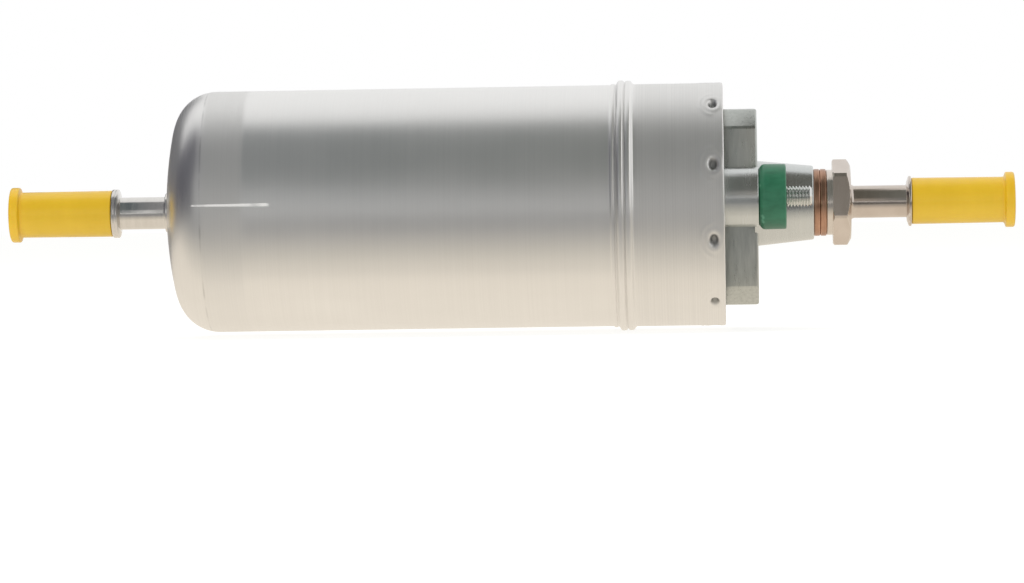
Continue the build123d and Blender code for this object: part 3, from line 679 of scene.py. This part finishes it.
# End cover: plug and cone in one turning, with the cast bar and the rib

plug = rings("cover_plug", rounded([
    (COVER_START, CAVITY_RADIUS, 0.3), (COVER_START, PLATE_RADIUS, 0.5), (GROOVE_START, PLATE_RADIUS, 0.2),
    (GROOVE_START, GROOVE_FLOOR), (GROOVE_END, GROOVE_FLOOR), (GROOVE_END, PLATE_RADIUS, 0.2),
    (SHOULDER, PLATE_RADIUS, 0.3), (SHOULDER, WAIST_RADIUS), (CONE_START, WAIST_RADIUS),
    (CONE_START, CONE_ROOT, 0.2), (CONE_END, CONE_TIP, 0.45), (CONE_END, SHANK_RADIUS),
    (SHANK_START, SHANK_RADIUS), (SHANK_START, CHANNEL_RADIUS), (HUB_FLOOR, CHANNEL_RADIUS),
    (HUB_FLOOR, BUSH_RADIUS), (HUB_START, BUSH_RADIUS), (HUB_START, HUB_RADIUS),
    (COVER_PLATE, HUB_RADIUS), (COVER_PLATE, CAVITY_RADIUS)]), around=160)
stand_for(plug, "root", "cast_aluminium", "end_cover", finish="machined_aluminium")

corner_side, corner_top = BAR_SIDE - BAR_SLOPE_DEPTH, BAR_TOP - BAR_SLOPE_HEIGHT
turn, drop = Matrix.Rotation(math.radians(BAR_TURN), 2), Vector((0, -BAR_DROP))
bar = slab("cover_bar", CAST_START, BAR_END, [tuple(turn @ Vector(spot) + drop) for spot in (
    (-corner_side, BAR_TOP), (-BAR_SIDE, corner_top), (-BAR_SIDE, -corner_top), (-corner_side, -BAR_TOP),
    (corner_side, -BAR_TOP), (BAR_SIDE, -corner_top), (BAR_SIDE, corner_top), (corner_side, BAR_TOP))])
stand_for(bar, "root", "cast_aluminium", "end_cover")

lean = Matrix.Rotation(-math.atan2(TERMINAL_LIFT, TERMINAL_SIDE), 2)
rib = slab("cover_rib", CAST_START, RIB_END, [tuple(lean @ Vector(spot)) for spot in (
    (-TERMINAL_SIDE, RIB_SIDE), (-TERMINAL_SIDE, -RIB_SIDE), (TERMINAL_SIDE, -RIB_SIDE),
    (TERMINAL_SIDE, RIB_SIDE))])
stand_for(rib, "root", "cast_aluminium", "end_cover")


# Terminals, each a boss of the cover with a threaded stud in its insulating sleeve

def thread_shape(x, r, angles):
    """Shapes the stud's free end into a screw thread."""
    if x[0] < THREAD_START or r[0] < STUD_RADIUS - 0.01:
        return x, r
    phase = (x / THREAD_PITCH - angles / (2 * math.pi)) % 1.0
    cut = np.clip(1.35 - np.abs(phase - 0.5) * 3.6, 0, 1)
    return x, STUD_RADIUS - (STUD_RADIUS - THREAD_ROOT) * cut


for name, way, plastic in (("front", -1, "green_plastic"), ("rear", 1, "dark_plastic")):
    side, height = way * TERMINAL_SIDE, -way * TERMINAL_LIFT
    boss_root = SHOULDER - 0.3
    boss = rings(f"{name}_boss", rounded([
        (COVER_PLATE, BOSS_BORE), (COVER_PLATE, BOSS_ROOT), (boss_root, BOSS_ROOT),
        (boss_root, BOSS_RADIUS), (BOSS_END, BOSS_RADIUS, 0.6), (BOSS_END, BOSS_BORE)]),
        side=side, height=height)
    stand_for(boss, "root", "cast_aluminium", "end_cover", finish="machined_aluminium")

    foot = BOSS_END + 0.01
    sleeve = rings(f"{name}_sleeve", rounded([
        (SLEEVE_START, STUD_RADIUS), (SLEEVE_START, BOSS_BORE, 0.3), (foot, BOSS_BORE),
        (foot, INSULATOR_FOOT, 0.3), (foot + 0.84, INSULATOR_RADIUS, 0.6),
        (INSULATOR_END, INSULATOR_RADIUS - 0.05, 0.4), (INSULATOR_END, STUD_RADIUS)]),
        side=side, height=height)
    stand_for(sleeve, "root", plastic, f"{name}_insulator")

    rod = [(STUD_START, 0.0), (STUD_START, STUD_HEAD), (SLEEVE_START, STUD_HEAD),
           (SLEEVE_START, STUD_RADIUS), (91.8, STUD_RADIUS)]
    rod += [(x, STUD_RADIUS) for x in np.arange(91.9, STUD_END - 0.45, 0.05)]
    rod += [(STUD_END - 0.4, STUD_RADIUS - 0.1), (STUD_END, STUD_RADIUS - 0.5), (STUD_END, 0.0)]
    stud = rings(f"{name}_screw", rod, around=72, side=side, height=height, closed=False,
                 shape=thread_shape, sharp=40)
    stand_for(stud, "root", "zinc_steel", f"{name}_stud")


# Springs, each a coil of wire from its fixed end to its moving end

def coil(start, end, radius, thickness, turns):
    """Points of a wire spring on the X axis, in rings of ten, and how many stand in a ring."""
    around = 10
    turn = np.linspace(0, 2 * math.pi * turns, turns * 28 + 1)
    tilt = np.linspace(0, 2 * math.pi, around, endpoint=False)
    spread = radius + thickness * np.cos(tilt)[None, :]
    x = np.linspace(start, end, len(turn))[:, None] + thickness * np.sin(tilt)[None, :]
    y, z = spread * np.cos(turn)[:, None], spread * np.sin(turn)[:, None]
    return np.stack([x, y, z], 2).reshape(-1, 3), around


along_x, along_y = (0, 1, 2), (1, 0, 2)
relief, brush = (0, 0, RELIEF_HEIGHT), (BRUSH_MIDDLE, 0, 0)
for name, fixed, moving, radius, thickness, turns, middle, order, joint, lift in (
        ("relief_spring", -51.5, -45.55, 1.4, 0.2, 5, relief, along_x, "relief_lift", 1.4),
        ("valve_spring", VALVE_FLOOR, 91.75, 2.3, 0.25, 6, (0, 0, 0), along_x, "non_return_lift", 2.5),
        ("front_brush_spring", -BOX_FLOOR, -BRUSH_END, 1.9, 0.25, 4, brush, along_y,
         "front_brush_slide", 2.0),
        ("rear_brush_spring", BOX_FLOOR, BRUSH_END, 1.9, 0.25, 4, brush, along_y,
         "rear_brush_slide", 2.0)):
    inset = math.copysign(thickness + 0.05, moving - fixed)
    points, around = coil(fixed + inset, moving - inset, radius, thickness, turns)
    spring = tube(name + "_wire", points[:, order] + np.array(middle), around)
    stand_for(spring, "root", "spring_steel", name)
    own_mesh(spring)


# Brush leads, each bent from the brush over to the stud
for name, way in (("front", -1), ("rear", 1)):
    x = np.linspace(LEAD_START, LEAD_END, 41)
    bent = step(LEAD_START + 3, LEAD_END - 3, x)
    tilt = np.linspace(0, 2 * math.pi, 16, endpoint=False)
    middle = way * (LEAD_HEIGHT + (TERMINAL_SIDE - LEAD_HEIGHT) * bent)
    y = middle[:, None] + LEAD_RADIUS * np.cos(tilt)[None, :]
    z = (-way * TERMINAL_LIFT * bent)[:, None] + LEAD_RADIUS * np.sin(tilt)[None, :]
    points = np.stack([np.broadcast_to(x[:, None], y.shape), y, z], 2).reshape(-1, 3)
    lead = tube(f"{name}_lead_wire", points, len(tilt))
    lead.data.materials.append(FINISH["copper"])
    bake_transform(lead)
    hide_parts(f"{name}_brush_lead")


# Transport caps, each with a plug inside that goes into the tube
for name, mouth, way in (("inlet_cap", INLET_BEAD - 0.1, -1), ("outlet_cap", OUTLET_BEAD + 0.1, 1)):
    end = mouth + way * CAP_LENGTH
    lip = end - way * CAP_FLANGE_LENGTH
    floor = mouth + way * CAP_DEPTH
    tip = floor - way * CAP_PLUG_LENGTH
    dish = end - way * CAP_DISH
    cap = rings(f"{name}_shell", rounded([
        (mouth, CAP_BORE + 0.15, 0.2), (mouth, CAP_RADIUS, 0.25), (lip - way * 0.3, CAP_RADIUS - 0.1, 0.3),
        (lip, CAP_FLANGE - 0.65, 0.35), (lip + way * 0.15, CAP_FLANGE, 0.5), (end, CAP_FLANGE, 0.6),
        (end, 4.2, 0.5), (dish, 3.9, 0.6), (dish, 0.0), (tip, 0.0), (tip, CAP_PLUG - 0.5, 0.3),
        (tip + way * 0.7, CAP_PLUG, 0.3), (floor, CAP_PLUG, 0.2), (floor, CAP_BORE, 0.3),
        (mouth + way * 0.4, CAP_BORE, 0.2)]))
    stand_for(cap, name, "cap_plastic", name)


# Dark and light cards, which only reflections show

def emitter(name, colour):
    """A material that glows in one colour."""
    made = bpy.data.materials.new(name)
    tree = blank_tree(made)
    glow = tree.nodes.new("ShaderNodeEmission")
    glow.inputs["Color"].default_value = (*colour, 1)
    glow.inputs["Strength"].default_value = 1.0
    out = tree.nodes.new("ShaderNodeOutputMaterial")
    wire(tree, glow.outputs[0], out.inputs["Surface"])
    return made


def panel(name, points, colour, faces=((0, 1, 2, 3),)):
    """A card that only reflections show."""
    made = placed(name, new_mesh(name, points, faces))
    made.data.materials.append(emitter(name + "_colour", colour))
    for ray in ("camera", "diffuse", "transmission", "shadow", "volume_scatter"):
        setattr(made, "visible_" + ray, False)
    made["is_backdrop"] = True


# Curved cards round the X line, between two heights in degrees above the front horizon
for name, low, high, left, right, steps, colour in (
        ("upper_card", 22, 88, -0.085, 0.08, 16, (0.245, 0.262, 0.250)),
        ("upper_middle_card", 22, 88, -0.20, -0.085, 16, (0.065, 0.098, 0.112)),
        ("upper_right_card", 22, 88, 0.08, 0.13, 16, (0.185, 0.200, 0.190)),
        ("upper_far_card", 22, 103, 0.13, 0.75, 16, (0.140, 0.135, 0.115)),
        ("upper_left_card", 22, 88, -0.9, -0.20, 16, (0.30, 0.30, 0.31)),
        ("front_card", 2, 22, -0.20, 0.13, 6, (0.23, 0.25, 0.26)),
        ("front_far_card", 2, 22, 0.13, 0.75, 6, (0.42, 0.38, 0.34))):
    angles = [math.radians(a) for a in np.linspace(low, high, steps)]
    points = [(x, -CARD_RADIUS * math.cos(a), CARD_RADIUS * math.sin(a))
              for a in angles for x in (left, right)]
    faces = [(2 * k, 2 * k + 1, 2 * k + 3, 2 * k + 2) for k in range(steps - 1)]
    panel(name, points, colour, faces)

# Cards just above the ground, from the front backwards
for name, left, right, near, far, colour in (
        ("near_ground_card", -0.20, 0.112, -1.2, -0.088, (0.30, 0.30, 0.30)),
        ("dark_ground_card", 0.112, 0.75, -0.40, -0.088, (0.10, 0.10, 0.10)),
        ("front_ground_card", 0.112, 0.75, -1.2, -0.40, (0.40, 0.39, 0.37)),
        ("second_ground_card", -0.20, 0.75, -0.088, -0.060, (0.50, 0.475, 0.44)),
        ("third_ground_card", -0.20, 0.75, -0.060, -0.045, (0.62, 0.58, 0.51)),
        ("fourth_ground_card", -0.20, 0.75, -0.045, -0.032, (0.76, 0.70, 0.61)),
        ("side_ground_card", -0.9, -0.20, -0.9, 0.9, (0.38, 0.38, 0.37)),
        ("warm_ground_card", -0.20, 0.9, -0.032, 0.9, (0.90, 0.82, 0.71))):
    panel(name, [(left, near, CARD_FLOOR), (right, near, CARD_FLOOR), (right, far, CARD_FLOOR),
                 (left, far, CARD_FLOOR)], colour)

# Upright cards to the left, which the dome shows
for name, left, right, top, colour in (
        ("left_wall", (-0.300, -1.200), (-0.640, -0.600), 0.60, (0.40, 0.40, 0.40)),
        ("dark_wall", (-0.640, -0.600), (-0.480, 0.100), 0.95, (0.085, 0.085, 0.105)),
        ("grey_wall", (-0.480, 0.100), (-0.140, 0.330), 0.25, (0.16, 0.16, 0.17))):
    panel(name, [(*left, CARD_FLOOR), (*right, CARD_FLOOR), (*right, top), (*left, top)], colour)


# Ground of glowing white paper, which keeps the pump's shadow
paper = bpy.data.materials.new("ground_paper")
tree = blank_tree(paper)
matt = tree.nodes.new("ShaderNodeBsdfDiffuse")
matt.inputs["Color"].default_value = (0.30, 0.30, 0.29, 1)
glow = tree.nodes.new("ShaderNodeEmission")
glow.inputs["Color"].default_value = (1.0, 1.0, 0.99, 1)
glow.inputs["Strength"].default_value = 0.80
both = tree.nodes.new("ShaderNodeAddShader")
wire(tree, matt.outputs[0], both.inputs[0])
wire(tree, glow.outputs[0], both.inputs[1])
out = tree.nodes.new("ShaderNodeOutputMaterial")
wire(tree, both.outputs[0], out.inputs["Surface"])
ground = placed("ground", new_mesh("ground", [
    (x * GROUND_REACH, y * GROUND_REACH, FLOOR) for x, y in ((-1, -1), (1, -1), (1, 1), (-1, 1))],
    [(0, 1, 2, 3)]))
ground.data.materials.append(paper)
ground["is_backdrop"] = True


# White room, dimmer as a light than it looks
world = bpy.data.worlds.new("white_room")
bpy.context.scene.world = world
tree = blank_tree(world)
path = tree.nodes.new("ShaderNodeLightPath")
seen = math_node(tree, "MAXIMUM", path.outputs["Is Camera Ray"], path.outputs["Is Glossy Ray"])
seen = math_node(tree, "MAXIMUM", seen, path.outputs["Is Transmission Ray"])
room = tree.nodes.new("ShaderNodeBackground")
room.inputs["Color"].default_value = (1, 1, 1, 1)
wire(tree, math_node(tree, "MULTIPLY_ADD", seen, 0.35, 0.65), room.inputs["Strength"])
out = tree.nodes.new("ShaderNodeOutputWorld")
wire(tree, room.outputs[0], out.inputs["Surface"])


# Soft boxes
for name, place, size, power in (
        ("top_box", (0.0, 0.25, 1.1), (1.4, 1.0), 9),
        ("front_box", (-0.3, -1.2, 0.35), (1.0, 0.6), 5)):
    box = bpy.data.lights.new(name, "AREA")
    box.shape = "RECTANGLE"
    box.size, box.size_y = size
    box.energy = power
    lamp = placed(name, box)
    lamp.location = place
    lamp.rotation_euler = (LAMP_AIM - Vector(place)).to_track_quat("-Z", "Y").to_euler()
    lamp.visible_glossy = False


# Camera at the photograph's angle
camera_data = bpy.data.cameras.new("camera")
camera_data.sensor_width = 36
camera_data.lens = CAMERA_LENS
camera_data.clip_end = 20
camera = placed("camera", camera_data)
camera.location = CAMERA_PLACE
camera.rotation_mode = "QUATERNION"
facing = Euler((math.radians(90 + CAMERA_PITCH), 0, math.radians(CAMERA_YAW))).to_matrix()
camera.rotation_quaternion = (facing @ Matrix.Rotation(math.radians(CAMERA_ROLL), 3, "Z")).to_quaternion()
bpy.context.scene.camera = camera
bpy.context.scene.view_settings.view_transform = "Standard"

low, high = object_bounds()
